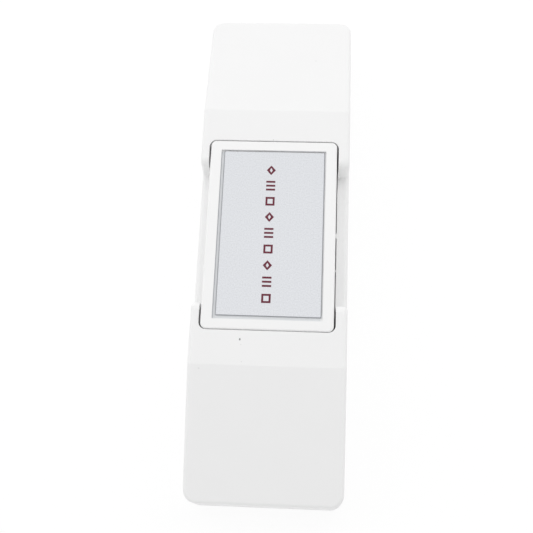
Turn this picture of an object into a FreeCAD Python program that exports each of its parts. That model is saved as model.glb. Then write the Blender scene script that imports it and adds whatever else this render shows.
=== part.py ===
import FreeCAD, Part
import math
import os

import Sketcher

# Panic button: a white moulded bar-shaped housing that lies on its back face.
# Origin: middle of the back face. X across the housing, Y along it, Z up towards the push cap.
# All sizes are millimetres.

SIZES = [
    # Housing, outside
    ("housing_length", 100.4),
    ("housing_width", 29.9),
    ("plateau_height", 17.0),
    ("plateau_length", 51.2),
    ("end_height", 10.2),
    ("side_draft", 1.3),
    ("corner_round", 2.6),
    ("top_edge_round", 0.8),
    ("seam_height", 3.0),
    ("seam_chamfer", 0.25),
    # Housing, walls and fits
    ("roof_wall", 1.5),
    ("side_wall", 1.8),
    ("end_wall", 1.8),
    ("floor_wall", 1.8),
    ("lip_fit", 0.1),
    ("lip_wall", 1.0),
    ("lip_rise", 2.4),
    ("inner_corner_round", 1.2),
    ("slope_rib_thickness", 0.8),
    ("slope_rib_drop", 1.2),
    ("slope_rib_pitch", 5.7),
    ("slope_rib_count", 3),
    # Opening with its rim, and the finger scoops beside it
    ("cap_offset", -0.285),
    ("cheek_width", 2.255),
    ("cap_gap_side", 0.32),
    ("cap_gap_end", 0.12),
    ("rim_wall", 1.2),
    ("rim_drop", 1.3),
    ("opening_edge_round", 0.12),
    ("scoop_depth", 5.0),
    ("scoop_length", 27.4),
    ("scoop_shoulder_round", 1.7),
    ("scoop_foot_round", 0.35),
    # Push cap
    ("cap_length", 37.88),
    ("cap_corner_round", 1.1),
    ("cap_edge_round", 0.35),
    ("cap_thickness", 2.2),
    ("cap_skirt_wall", 1.2),
    ("cap_travel", 2.2),
    ("cap_rib_drop", 0.6),
    ("cap_rib_width", 4.0),
    ("cap_rib_thickness", 1.2),
    ("cap_rib_flat", 0.04),
    ("hook_width", 4.0),
    ("hook_spacing", 13.0),
    ("hook_reach", 0.9),
    ("hook_height", 1.6),
    ("hook_leg", 1.2),
    ("hook_gap", 0.3),
    ("hook_nose", 0.55),
    ("hook_root", 0.5),
    ("hook_inset", 0.1),
    # Label plate and its recess
    ("cap_frame_side", 2.11),
    ("cap_frame_end", 1.94),
    ("recess_depth", 0.6),
    ("recess_corner_round", 0.15),
    ("label_gap_side", 0.55),
    ("label_gap_end", 0.56),
    ("label_thickness", 0.35),
    ("label_shift_right", 0.17),
    ("label_shift_up", 0.275),
    # Return springs, their posts and spigots
    ("spring_skirt_gap", 1.54),
    ("spring_diameter", 5.4),
    ("spring_wire", 0.4),
    ("spring_turns", 4.0),
    ("spring_end_fit", 0.05),
    ("spring_post_diameter", 3.6),
    ("spring_post_rise", 5.4),
    ("spring_post_bevel", 0.4),
    ("spigot_diameter", 3.6),
    ("spigot_drop", 1.4),
    # Circuit board, its posts and screws
    ("board_side_gap", 0.75),
    ("board_top_end", 7.4),
    ("board_thickness", 1.2),
    ("board_post_rise", 1.4),
    ("board_post_diameter", 5.0),
    ("board_rest_diameter", 2.5),
    ("board_hole_fit", 0.1),
    ("board_spring_gap", 0.9),
    ("board_screw_top_y", 4.6),
    ("screw_core", 1.9),
    ("screw_length", 4.0),
    ("screw_head_diameter", 4.0),
    ("screw_head_height", 1.3),
    ("screw_fit", 0.05),
    ("screw_tip_room", 0.1),
    ("screw_head_bevel", 0.4),
    ("screw_tip_bevel", 0.4),
    ("screw_cross_length", 2.4),
    ("screw_cross_width", 0.5),
    ("screw_cross_depth", 0.6),
    # Snap switch
    ("switch_length", 12.8),
    ("switch_width", 5.8),
    ("switch_height", 6.5),
    ("switch_wall", 0.8),
    ("switch_lid", 0.8),
    ("switch_lid_bevel", 0.2),
    ("pin_pitch", 5.08),
    ("pin_width", 0.8),
    ("pin_thickness", 0.4),
    ("pin_below_board", 0.8),
    ("pin_fit", 0.1),
    ("plunger_x", 1.5),
    ("plunger_length", 1.0),
    ("plunger_width", 1.7),
    ("plunger_fit", 0.1),
    ("plunger_flange", 0.5),
    ("plunger_flange_height", 0.6),
    ("plunger_gap", 0.15),
    ("plunger_top_gap", 0.05),
    ("plunger_tip_round", 0.4),
    ("plunger_blade_gap", 0.2),
    ("pressed_clear", 0.04),
    ("blade_height", 3.8),
    ("blade_thickness", 0.2),
    ("blade_width", 2.4),
    ("blade_tip_x", 4.6),
    ("blade_pin_gap", 0.05),
    ("contact_x", 3.9),
    ("contact_diameter", 1.2),
    ("contact_height", 0.3),
    ("contact_gap", 0.1),
    ("lever_pivot_x", 5.6),
    ("lever_pivot_rise", 0.4),
    ("lever_pivot_diameter", 0.7),
    ("lever_pivot_fit", 0.04),
    ("lever_length", 12.2),
    ("lever_tip", 0.5),
    ("lever_width", 2.4),
    ("lever_thickness", 0.3),
    ("lever_press_x", -5.0),
    ("lever_gap", 0.2),
    ("ear_wall", 0.6),
    ("ear_gap", 0.25),
    ("ear_diameter", 1.6),
    ("ear_root", 0.2),
    # Terminal block
    ("block_width", 15.6),
    ("block_depth", 7.0),
    ("block_height", 8.0),
    ("block_end_margin", 0.8),
    ("block_rim_gap", 1.94),
    ("block_screw_gap", 2.6),
    ("block_wall", 0.8),
    ("block_roof", 2.2),
    ("clamp_pitch", 5.0),
    ("clamp_width", 3.4),
    ("clamp_depth", 4.4),
    ("clamp_height", 4.6),
    ("clamp_wall", 0.4),
    ("clamp_fit", 0.15),
    ("wire_entry_width", 2.6),
    ("wire_entry_height", 2.8),
    ("clamp_screw_diameter", 2.4),
    ("clamp_screw_head", 3.0),
    ("clamp_screw_head_height", 1.4),
    ("clamp_screw_lift", 0.3),
    ("clamp_screw_shank", 2.6),
    ("clamp_slot_width", 0.5),
    ("clamp_slot_depth", 0.6),
    # Mounting holes, cable entry and snap catches
    ("mounting_from_end", 7.2),
    ("mounting_hole", 4.2),
    ("mounting_boss", 8.4),
    ("mounting_boss_rise", 0.8),
    ("cable_entry_width", 11.0),
    ("cable_entry_length", 6.4),
    ("cable_entry_gap", 1.0),
    ("cable_entry_flat", 0.4),
    ("catch_spacing", 60.0),
    ("catch_length", 8.0),
    ("catch_reach", 0.5),
    ("catch_height", 1.0),
    ("catch_rise", 1.0),
    ("catch_fit", 0.12),
]

doc = FreeCAD.newDocument("panic_button")
sheet = doc.addObject("Spreadsheet::Sheet", "sizes")
for row, (alias, value) in enumerate(SIZES, start=1):
    sheet.set(f"A{row}", str(value))
    sheet.setAlias(f"A{row}", alias)
doc.recompute()


def number(formula):
    """The value of a formula in the sheet's aliases."""
    return float(sheet.evalExpression(formula))


# Formulas shared by several pieces: plain aliases are written as sizes.NAME.
HALF_LENGTH = "sizes.housing_length / 2"
HALF_WIDTH = "sizes.housing_width / 2"
CREASE = "sizes.plateau_length / 2"
END_SLOPE = (
    "(sizes.plateau_height - sizes.end_height)"
    " / (sizes.housing_length / 2 - sizes.plateau_length / 2)"
)
SEAM_INSET = "sizes.seam_height * tan(sizes.side_draft)"
INNER_HALF_WIDTH = "(sizes.housing_width / 2 - sizes.side_wall)"
INNER_HALF_LENGTH = "(sizes.housing_length / 2 - sizes.end_wall)"
OPENING_WIDTH = "(sizes.housing_width - 2 * sizes.cheek_width)"
OPENING_LENGTH = "(sizes.cap_length + 2 * sizes.cap_gap_end)"
OPENING_ROUND = "(sizes.cap_corner_round + sizes.cap_gap_side)"
CAP_WIDTH = f"({OPENING_WIDTH} - 2 * sizes.cap_gap_side)"
RECESS_WIDTH = f"({CAP_WIDTH} - 2 * sizes.cap_frame_side)"
RECESS_LENGTH = "(sizes.cap_length - 2 * sizes.cap_frame_end)"
SCOOP_FLOOR = "(sizes.plateau_height - sizes.scoop_depth)"
CAP_UNDERSIDE = "(sizes.plateau_height - sizes.cap_thickness)"
RIM_BOTTOM = f"({SCOOP_FLOOR} - sizes.rim_drop)"
SKIRT_BOTTOM = f"({RIM_BOTTOM} - sizes.hook_gap)"
BOARD_BOTTOM = "(sizes.floor_wall + sizes.board_post_rise)"
BOARD_TOP = "(sizes.floor_wall + sizes.board_post_rise + sizes.board_thickness)"
SWITCH_TOP = f"({BOARD_TOP} + sizes.switch_height)"
BLADE_Z = f"({BOARD_TOP} + sizes.blade_height)"
LEVER_Z = f"({SWITCH_TOP} + sizes.lever_pivot_rise)"
BLOCK_TOP_SIDE = f"(-{OPENING_LENGTH} / 2 - sizes.rim_wall - sizes.block_rim_gap)"
BLOCK_Y = f"({BLOCK_TOP_SIDE} - sizes.block_depth / 2)"
BOARD_BOTTOM_END = f"({BLOCK_TOP_SIDE} - sizes.block_depth - sizes.block_end_margin)"
SPRING_BOTTOM = "sizes.floor_wall"
CAP_WEB = "(sizes.cap_thickness - sizes.recess_depth)"
SPRING_Y = (
    "(sizes.cap_length / 2 - sizes.cap_skirt_wall - sizes.spring_skirt_gap"
    " - sizes.spring_diameter / 2)"
)
TRAY_HALF_WIDTH = f"({INNER_HALF_WIDTH} - sizes.lip_fit - sizes.lip_wall)"
TRAY_HALF_LENGTH = f"({INNER_HALF_LENGTH} - sizes.lip_fit - sizes.lip_wall)"
BOARD_SCREW_X = "(sizes.switch_length / 2 + sizes.screw_head_diameter / 2)"
BOARD_SCREW_LOW_Y = (
    f"({BLOCK_TOP_SIDE} + sizes.block_screw_gap + sizes.screw_head_diameter / 2)"
)
MOUNT_Y = "(sizes.housing_length / 2 - sizes.mounting_from_end)"

# A cut runs this far past the face that it starts from.
CUT_OVER = "1"

# Lengths that tell edges apart: two points agree within SAME, and a point lies on the drafted
# outside within OUTSIDE_SLACK. A corner's small edges reach less than SHORT_EDGE or LONG_EDGE.
SAME = 0.01
OUTSIDE_SLACK = 0.1
SHORT_EDGE = 0.3
LONG_EDGE = 1.0


def origin_plane(body, role):
    """One of a body's own origin planes, found by its role."""
    for feature in body.Origin.OriginFeatures:
        if feature.Role == role:
            return feature
    raise ValueError(role)


def new_body(label):
    """An empty body that carries the piece's name."""
    body = doc.addObject("PartDesign::Body", label)
    body.Label = label
    return body


def sketch_on(body, name, role="XY_Plane", height="0"):
    """A sketch on an origin plane of the body, lifted along the plane's normal."""
    sketch = body.newObject("Sketcher::SketchObject", f"{body.Label}_{name}")
    sketch.AttachmentSupport = [(origin_plane(body, role), "")]
    sketch.MapMode = "FlatFace"
    sketch.setExpression("AttachmentOffset.Base.z", height)
    return sketch


def bind(sketch, constraint, formula):
    """Adds a dimension to a sketch and ties it to a formula."""
    index = sketch.addConstraint(constraint)
    sketch.setExpression(f"Constraints[{index}]", formula)


def polygon(sketch, corners):
    """A closed outline of straight lines through corners given as pairs of formulas."""
    points = [FreeCAD.Vector(number(across), number(up), 0) for across, up in corners]
    count = len(corners)
    lines = []
    for here in range(count):
        line = Part.LineSegment(points[here], points[(here + 1) % count])
        lines.append(sketch.addGeometry(line, False))
    for here in range(count):
        following = lines[(here + 1) % count]
        sketch.addConstraint(Sketcher.Constraint("Coincident", lines[here], 2, following, 1))
    for line, point, (across, up) in zip(lines, points, corners):
        bind(sketch, Sketcher.Constraint("DistanceX", line, 1, point.x), across)
        bind(sketch, Sketcher.Constraint("DistanceY", line, 1, point.y), up)


def rectangle(sketch, middle_x, middle_y, width, length):
    """A rectangle from formulas for its middle and its two sides."""
    left = f"({middle_x}) - ({width}) / 2"
    right = f"({middle_x}) + ({width}) / 2"
    low = f"({middle_y}) - ({length}) / 2"
    high = f"({middle_y}) + ({length}) / 2"
    polygon(sketch, [(left, low), (right, low), (right, high), (left, high)])


def circle(sketch, middle_x, middle_y, diameter):
    """A circle from formulas for its middle and its diameter."""
    middle = FreeCAD.Vector(number(middle_x), number(middle_y), 0)
    radius = number(diameter) / 2
    ring = sketch.addGeometry(Part.Circle(middle, FreeCAD.Vector(0, 0, 1), radius), False)
    bind(sketch, Sketcher.Constraint("DistanceX", ring, 3, middle.x), middle_x)
    bind(sketch, Sketcher.Constraint("DistanceY", ring, 3, middle.y), middle_y)
    bind(sketch, Sketcher.Constraint("Radius", ring, radius), f"({diameter}) / 2")


def octagon(sketch, middle_x, middle_y, width):
    """An eight-sided outline with flats left, right, above and below, a given width across them."""
    half = f"({width}) / 2"
    flat = f"({width}) / 2 * tan(22.5)"
    right, left = f"({middle_x}) + {half}", f"({middle_x}) - {half}"
    right_flat, left_flat = f"({middle_x}) + {flat}", f"({middle_x}) - {flat}"
    high, low = f"({middle_y}) + {half}", f"({middle_y}) - {half}"
    high_flat, low_flat = f"({middle_y}) + {flat}", f"({middle_y}) - {flat}"
    polygon(sketch, [
        (right, low_flat), (right, high_flat), (right_flat, high), (left_flat, high),
        (left, high_flat), (left, low_flat), (left_flat, low), (right_flat, low),
    ])


def rounded_rectangle(sketch, middle_x, middle_y, width, length, corner):
    """A rectangle with four equal round corners: lines and arcs in turn, each tangent to the next."""
    x, y = number(middle_x), number(middle_y)
    half_x, half_y = number(width) / 2, number(length) / 2
    radius = number(corner)
    normal = FreeCAD.Vector(0, 0, 1)
    pieces = []
    for turn, (side_x, side_y) in enumerate([(1, -1), (1, 1), (-1, 1), (-1, -1)]):
        middle = FreeCAD.Vector(x + side_x * (half_x - radius), y + side_y * (half_y - radius), 0)
        start = (turn - 1) * math.pi / 2
        ring = Part.Circle(middle, normal, radius)
        pieces.append(Part.ArcOfCircle(ring, start, start + math.pi / 2))
    arcs = [sketch.addGeometry(piece, False) for piece in pieces]
    lines = []
    for here in range(4):
        begin = pieces[here].EndPoint
        end = pieces[(here + 1) % 4].StartPoint
        lines.append(sketch.addGeometry(Part.LineSegment(begin, end), False))
    for here in range(4):
        following = arcs[(here + 1) % 4]
        sketch.addConstraint(Sketcher.Constraint("Tangent", arcs[here], 2, lines[here], 1))
        sketch.addConstraint(Sketcher.Constraint("Tangent", lines[here], 2, following, 1))
        if here:
            sketch.addConstraint(Sketcher.Constraint("Equal", arcs[0], arcs[here]))
        direction = "Vertical" if here % 2 == 0 else "Horizontal"
        sketch.addConstraint(Sketcher.Constraint(direction, lines[here]))
    bind(sketch, Sketcher.Constraint("Radius", arcs[0], radius), corner)
    edges = [("DistanceX", 0, x + half_x, f"({middle_x}) + ({width}) / 2")]
    edges.append(("DistanceY", 1, y + half_y, f"({middle_y}) + ({length}) / 2"))
    edges.append(("DistanceX", 2, x - half_x, f"({middle_x}) - ({width}) / 2"))
    edges.append(("DistanceY", 3, y - half_y, f"({middle_y}) - ({length}) / 2"))
    for kind, line, value, formula in edges:
        bind(sketch, Sketcher.Constraint(kind, lines[line], 1, value), formula)


def volume_of(body):
    """The volume of a body so far."""
    return body.Shape.Volume if body.Shape.Solids else 0.0


def pad(body, name, sketch, length, draft=None, both_ways=False, downwards=False):
    """Adds material from a sketch. A draft narrows the pad towards its far end."""
    before = volume_of(body)
    feature = body.newObject("PartDesign::Pad", f"{body.Label}_{name}")
    feature.Profile = sketch
    feature.setExpression("Length", length)
    feature.SideType = "Symmetric" if both_ways else "One side"
    feature.Reversed = downwards
    if draft:
        feature.setExpression("TaperAngle", f"-({draft})")
    doc.recompute()
    if volume_of(body) <= before:
        raise ValueError(f"{feature.Name} adds nothing")
    return feature


def pocket(body, name, sketch, length=None, both_ways=False, upwards=False):
    """Cuts material with a sketch, through everything where no length is given."""
    before = volume_of(body)
    feature = body.newObject("PartDesign::Pocket", f"{body.Label}_{name}")
    feature.Profile = sketch
    if length is None:
        feature.Type = "ThroughAll"
        feature.SideType = "Symmetric"
    else:
        feature.setExpression("Length", length)
        feature.SideType = "Symmetric" if both_ways else "One side"
        feature.Reversed = upwards
    doc.recompute()
    if volume_of(body) >= before:
        raise ValueError(f"{feature.Name} cuts nothing")
    return feature


def edges_where(body, test):
    """Names of the body's edges whose middle point and box pass a test."""
    names = []
    for index, edge in enumerate(body.Shape.Edges, start=1):
        middle = edge.valueAt((edge.FirstParameter + edge.LastParameter) / 2)
        if test(middle, edge.BoundBox):
            names.append(f"Edge{index}")
    if not names:
        raise ValueError(f"{body.Label}: no edge found")
    return names


def fillet(body, name, radius, test):
    """Rounds the edges that pass a test."""
    names = edges_where(body, test)
    base = body.Tip
    feature = body.newObject("PartDesign::Fillet", f"{body.Label}_{name}")
    feature.Base = (base, names)
    feature.setExpression("Radius", radius)
    doc.recompute()
    return feature


def chamfer(body, name, size, test):
    """Bevels the edges that pass a test."""
    names = edges_where(body, test)
    base = body.Tip
    feature = body.newObject("PartDesign::Chamfer", f"{body.Label}_{name}")
    feature.Base = (base, names)
    feature.setExpression("Size", size)
    doc.recompute()
    return feature


def mirror(body, name, features, role):
    """Repeats features on the other side of an origin plane."""
    feature = body.newObject("PartDesign::Mirrored", f"{body.Label}_{name}")
    feature.Originals = features
    feature.MirrorPlane = (origin_plane(body, role), [""])
    body.Tip = feature
    doc.recompute()
    return feature


def near(value, target, slack=SAME):
    """Whether two lengths agree."""
    return abs(value - target) < slack


# Front cover: an open-backed shell, flat in the middle and sloping to both ends.
cover = new_body("front_cover")
outline = sketch_on(cover, "outline", height="sizes.seam_height")
rounded_rectangle(
    outline,
    "0",
    "0",
    f"sizes.housing_width - 2 * {SEAM_INSET}",
    f"sizes.housing_length - 2 * {SEAM_INSET}",
    "sizes.corner_round",
)
pad(cover, "block", outline, "sizes.plateau_height - sizes.seam_height", draft="sizes.side_draft")

slopes = sketch_on(cover, "slope_profile", "YZ_Plane")
for side in ("1", "-1"):
    polygon(slopes, [
        (f"{side} * {CREASE}", "sizes.plateau_height"),
        (f"{side} * {HALF_LENGTH}", "sizes.end_height"),
        (f"{side} * {HALF_LENGTH}", "sizes.plateau_height"),
    ])
pocket(cover, "slopes", slopes)

# The hollow follows the outside: it is a roof's thickness below the plateau and the slopes.
hollow = sketch_on(cover, "hollow_profile", "YZ_Plane")
hollow_end_z = f"sizes.end_height + sizes.end_wall * {END_SLOPE} - sizes.roof_wall"
polygon(hollow, [
    (f"-{INNER_HALF_LENGTH}", "sizes.seam_height"),
    (INNER_HALF_LENGTH, "sizes.seam_height"),
    (INNER_HALF_LENGTH, hollow_end_z),
    (CREASE, "sizes.plateau_height - sizes.roof_wall"),
    (f"-{CREASE}", "sizes.plateau_height - sizes.roof_wall"),
    (f"-{INNER_HALF_LENGTH}", hollow_end_z),
])
pocket(cover, "hollow", hollow, f"2 * {INNER_HALF_WIDTH}", both_ways=True)
inner_x = number(INNER_HALF_WIDTH)
inner_y = number(INNER_HALF_LENGTH)
fillet(
    cover,
    "hollow_corners",
    "sizes.inner_corner_round",
    lambda at, box: near(abs(at.x), inner_x) and near(abs(at.y), inner_y) and box.ZLength > LONG_EDGE,
)

# Thin ribs across the cover stiffen the underside of both slopes.
roof_low = "(sizes.plateau_height - sizes.roof_wall)"
ribs = sketch_on(cover, "slope_rib_profiles", "YZ_Plane")
for side in ("1", "-1"):
    for place in range(1, round(number("sizes.slope_rib_count")) + 1):
        near_run = f"({place} * sizes.slope_rib_pitch - sizes.slope_rib_thickness / 2)"
        far_run = f"({place} * sizes.slope_rib_pitch + sizes.slope_rib_thickness / 2)"
        near_roof = f"{roof_low} - {near_run} * {END_SLOPE}"
        far_roof = f"{roof_low} - {far_run} * {END_SLOPE}"
        polygon(ribs, [
            (f"{side} * ({CREASE} + {near_run})", f"{near_roof} + sizes.roof_wall / 2"),
            (f"{side} * ({CREASE} + {far_run})", f"{far_roof} + sizes.roof_wall / 2"),
            (f"{side} * ({CREASE} + {far_run})", f"{far_roof} - sizes.slope_rib_drop"),
            (f"{side} * ({CREASE} + {near_run})", f"{near_roof} - sizes.slope_rib_drop"),
        ])
rib_span = f"2 * ({INNER_HALF_WIDTH} + sizes.side_wall / 4)"
pad(cover, "slope_ribs", ribs, rib_span, both_ways=True)

# A shelf under the scoops closes the space between the rim and the side walls.
shelf_low = f"({SCOOP_FLOOR} - sizes.roof_wall)"
shelf = sketch_on(cover, "scoop_shelf_outline", height=shelf_low)
rectangle(
    shelf,
    "0",
    "0",
    f"2 * {INNER_HALF_WIDTH}",
    "sizes.scoop_length + 2 * sizes.side_wall",
)
pad(cover, "scoop_shelf", shelf, f"sizes.plateau_height - sizes.roof_wall / 2 - {shelf_low}")

# The rim that hangs down round the opening guides the cap's skirt.
rim = sketch_on(cover, "rim_outline", height=RIM_BOTTOM)
rounded_rectangle(
    rim,
    "sizes.cap_offset",
    "0",
    f"{OPENING_WIDTH} + 2 * sizes.rim_wall",
    f"{OPENING_LENGTH} + 2 * sizes.rim_wall",
    f"{OPENING_ROUND} + sizes.rim_wall",
)
pad(cover, "rim", rim, f"sizes.plateau_height - sizes.roof_wall / 2 - {RIM_BOTTOM}")

# Finger scoops: the side walls are cut down beside the cap, with round shoulders.
scoops = sketch_on(cover, "scoop_profile", "YZ_Plane")
rectangle(
    scoops,
    "0",
    f"({SCOOP_FLOOR} + sizes.plateau_height + {CUT_OVER}) / 2",
    "sizes.scoop_length",
    f"sizes.scoop_depth + {CUT_OVER}",
)
pocket(cover, "scoops", scoops)
scoop_y = number("sizes.scoop_length / 2")
plateau_z = number("sizes.plateau_height")
floor_z = number(SCOOP_FLOOR)
fillet(
    cover,
    "scoop_shoulders",
    "sizes.scoop_shoulder_round",
    lambda at, box: near(abs(at.y), scoop_y) and near(at.z, plateau_z) and box.XLength > LONG_EDGE,
)
fillet(
    cover,
    "scoop_feet",
    "sizes.scoop_foot_round",
    lambda at, box: near(abs(at.y), scoop_y) and near(at.z, floor_z) and box.XLength > LONG_EDGE,
)

opening = sketch_on(cover, "opening_outline")
rounded_rectangle(opening, "sizes.cap_offset", "0", OPENING_WIDTH, OPENING_LENGTH, OPENING_ROUND)
pocket(cover, "opening", opening)


def on_outside(at):
    """Whether a point lies on the drafted outside of the housing."""
    draft = at.z * math.tan(math.radians(number("sizes.side_draft")))
    half_x = number(HALF_WIDTH) - draft
    half_y = number(HALF_LENGTH) - draft
    corner = number("sizes.corner_round")
    over_x = abs(at.x) - (half_x - corner)
    over_y = abs(at.y) - (half_y - corner)
    if over_x > 0 and over_y > 0:
        return near(math.hypot(over_x, over_y), corner, OUTSIDE_SLACK)
    return near(abs(at.x), half_x, OUTSIDE_SLACK) or near(abs(at.y), half_y, OUTSIDE_SLACK)


def is_top_edge(at, box):
    """The edges where the outside walls meet the plateau, the slopes and the scoops."""
    lies_along = box.XLength > LONG_EDGE or box.YLength > SHORT_EDGE
    lowest = number("sizes.end_height - sizes.top_edge_round")
    return on_outside(at) and at.z > lowest and lies_along


fillet(cover, "top_edges", "sizes.top_edge_round", is_top_edge)


def is_opening_edge(at, box):
    """The edges where the opening's wall meets the plateau, the shoulders and the scoop floors."""
    across = abs(at.x - number("sizes.cap_offset"))
    half_x = number(f"{OPENING_WIDTH} / 2")
    half_y = number(f"{OPENING_LENGTH} / 2")
    corner = number(OPENING_ROUND)
    over_x = across - (half_x - corner)
    over_y = abs(at.y) - (half_y - corner)
    if over_x > 0 and over_y > 0:
        on_wall = near(math.hypot(over_x, over_y), corner)
    else:
        on_wall = near(across, half_x) or near(abs(at.y), half_y)
    lies_along = box.XLength > SHORT_EDGE or box.YLength > SHORT_EDGE
    return on_wall and at.z > floor_z - SAME and lies_along


fillet(cover, "opening_edge", "sizes.opening_edge_round", is_opening_edge)

# Snap windows for the base's catches, on the inside of both long walls.
window_length = "sizes.catch_length + 2 * sizes.catch_fit"
window_height = "sizes.catch_height + 2 * sizes.catch_fit"
window_low = "sizes.seam_height + sizes.catch_rise - sizes.catch_fit"
windows = sketch_on(cover, "window_outlines", height=window_low)
for side in ("1", "-1"):
    for end in ("1", "-1"):
        rectangle(
            windows,
            f"{side} * ({INNER_HALF_WIDTH} + sizes.catch_reach / 2)",
            f"{end} * sizes.catch_spacing / 2",
            "sizes.catch_reach + 2 * sizes.catch_fit",
            window_length,
        )
pocket(cover, "windows", windows, window_height, upwards=True)
seam_z = number("sizes.seam_height")
chamfer(
    cover,
    "seam_edge",
    "sizes.seam_chamfer",
    lambda at, box: near(at.z, seam_z) and on_outside(at),
)

# Rear base: a shallow tray whose lip stands inside the cover.
base = new_body("rear_base")
outline = sketch_on(base, "outline")
rounded_rectangle(
    outline,
    "0",
    "0",
    "sizes.housing_width",
    "sizes.housing_length",
    "sizes.corner_round",
)
pad(base, "tray", outline, "sizes.seam_height", draft="sizes.side_draft")
lip = sketch_on(base, "lip_outline", height="sizes.floor_wall")
rounded_rectangle(
    lip,
    "0",
    "0",
    f"2 * ({INNER_HALF_WIDTH} - sizes.lip_fit)",
    f"2 * ({INNER_HALF_LENGTH} - sizes.lip_fit)",
    "sizes.inner_corner_round",
)
pad(base, "lip", lip, "sizes.seam_height + sizes.lip_rise - sizes.floor_wall")
tray_inside = sketch_on(base, "inside_outline", height="sizes.floor_wall")
rectangle(
    tray_inside,
    "0",
    "0",
    f"2 * {TRAY_HALF_WIDTH}",
    f"2 * {TRAY_HALF_LENGTH}",
)
pocket(base, "inside", tray_inside, "sizes.seam_height + sizes.lip_rise", upwards=True)

# Catches on the lip: each has a sloping top, so that the cover rides over it.
catch_low = "(sizes.seam_height + sizes.catch_rise)"
catch_in = f"({INNER_HALF_WIDTH} - sizes.lip_fit - sizes.lip_wall / 2)"
catch_out = f"({INNER_HALF_WIDTH} + sizes.catch_reach)"
catches = []
for name, end in (("upper", "1"), ("lower", "-1")):
    catch = sketch_on(base, f"catch_{name}", "XZ_Plane", f"{end} * -1 * sizes.catch_spacing / 2")
    polygon(catch, [
        (catch_in, catch_low),
        (catch_out, catch_low),
        (catch_out, f"{catch_low} + sizes.catch_height / 2"),
        (catch_in, f"{catch_low} + sizes.catch_height"),
    ])
    catches.append(pad(base, f"catch_{name}_pad", catch, "sizes.catch_length", both_ways=True))
mirror(base, "catches", catches, "YZ_Plane")

posts = sketch_on(base, "board_posts", height="sizes.floor_wall / 2")
screw_places = [
    ("upper", BOARD_SCREW_X, "sizes.board_screw_top_y"),
    ("lower", f"-{BOARD_SCREW_X}", BOARD_SCREW_LOW_Y),
]
for name, across, along in screw_places:
    circle(posts, across, along, "sizes.board_post_diameter")
pad(base, "board_posts_pad", posts, "sizes.floor_wall / 2 + sizes.board_post_rise")
rests = sketch_on(base, "board_rests", height="sizes.floor_wall / 2")
for name, across, along in screw_places:
    circle(rests, f"-({across})", along, "sizes.board_rest_diameter")
pad(base, "board_rests_pad", rests, "sizes.floor_wall / 2 + sizes.board_post_rise")
pilots = sketch_on(base, "pilot_holes", height=BOARD_BOTTOM)
for name, across, along in screw_places:
    circle(pilots, across, along, "sizes.screw_core + 2 * sizes.screw_fit")
pocket(base, "pilots", pilots, "sizes.screw_length - sizes.board_thickness + sizes.screw_tip_room")

spring_posts = sketch_on(base, "spring_posts", height="sizes.floor_wall / 2")
for end in ("1", "-1"):
    circle(
        spring_posts,
        "sizes.cap_offset",
        f"{end} * {SPRING_Y}",
        "sizes.spring_post_diameter",
    )
pad(base, "spring_posts_pad", spring_posts, "sizes.floor_wall / 2 + sizes.spring_post_rise")
post_top = number("sizes.floor_wall + sizes.spring_post_rise")
chamfer(base, "spring_post_tips", "sizes.spring_post_bevel", lambda at, box: near(at.z, post_top))

bosses = sketch_on(base, "mounting_bosses", height="sizes.floor_wall / 2")
holes = sketch_on(base, "mounting_holes")
for end in ("1", "-1"):
    circle(bosses, "0", f"{end} * {MOUNT_Y}", "sizes.mounting_boss")
    circle(holes, "0", f"{end} * {MOUNT_Y}", "sizes.mounting_hole")
pad(base, "mounting_bosses_pad", bosses, "sizes.floor_wall / 2 + sizes.mounting_boss_rise")
pocket(base, "mounting", holes)

# The cable entry lies between the lower boss and the board, clear of the boss.
cable_entry_y = (
    f"(sizes.mounting_boss / 2 + sizes.cable_entry_gap + sizes.cable_entry_length / 2 - {MOUNT_Y})"
)
entry = sketch_on(base, "cable_entry")
rounded_rectangle(
    entry,
    "0",
    cable_entry_y,
    "sizes.cable_entry_width",
    "sizes.cable_entry_length",
    "(sizes.cable_entry_length - sizes.cable_entry_flat) / 2",
)
pocket(base, "cable_entry_cut", entry)
chamfer(
    base,
    "seam_edge",
    "sizes.seam_chamfer",
    lambda at, box: near(at.z, seam_z) and on_outside(at),
)

# Push cap: a moulded box open below, with a shallow recess for the label.
cap = new_body("push_cap")
outline = sketch_on(cap, "outline", height=SKIRT_BOTTOM)
cap_size = ("sizes.cap_offset", "0", CAP_WIDTH, "sizes.cap_length")
rounded_rectangle(outline, *cap_size, "sizes.cap_corner_round")
pad(cap, "block", outline, f"sizes.plateau_height - {SKIRT_BOTTOM}")
fillet(
    cap,
    "top_edge",
    "sizes.cap_edge_round",
    lambda at, box: near(at.z, plateau_z),
)
inside = sketch_on(cap, "inside_outline", height=SKIRT_BOTTOM)
rounded_rectangle(
    inside,
    "sizes.cap_offset",
    "0",
    f"{CAP_WIDTH} - 2 * sizes.cap_skirt_wall",
    "sizes.cap_length - 2 * sizes.cap_skirt_wall",
    "sizes.cap_corner_round - sizes.cap_skirt_wall / 2",
)
pocket(cap, "inside", inside, f"{CAP_UNDERSIDE} - {SKIRT_BOTTOM}", upwards=True)
recess = sketch_on(cap, "recess_outline", height="sizes.plateau_height")
rounded_rectangle(
    recess,
    "sizes.cap_offset",
    "0",
    RECESS_WIDTH,
    RECESS_LENGTH,
    "sizes.recess_corner_round",
)
pocket(cap, "recess", recess, "sizes.recess_depth")
spigots = sketch_on(cap, "spigots", height=f"{CAP_UNDERSIDE} - sizes.spigot_drop")
for end in ("1", "-1"):
    circle(
        spigots,
        "sizes.cap_offset",
        f"{end} * {SPRING_Y}",
        "sizes.spigot_diameter",
    )
pad(cap, "spigots_pad", spigots, f"sizes.spigot_drop + {CAP_WEB} / 2")
rib = sketch_on(cap, "switch_rib", height=f"{CAP_UNDERSIDE} - sizes.cap_rib_drop")
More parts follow.
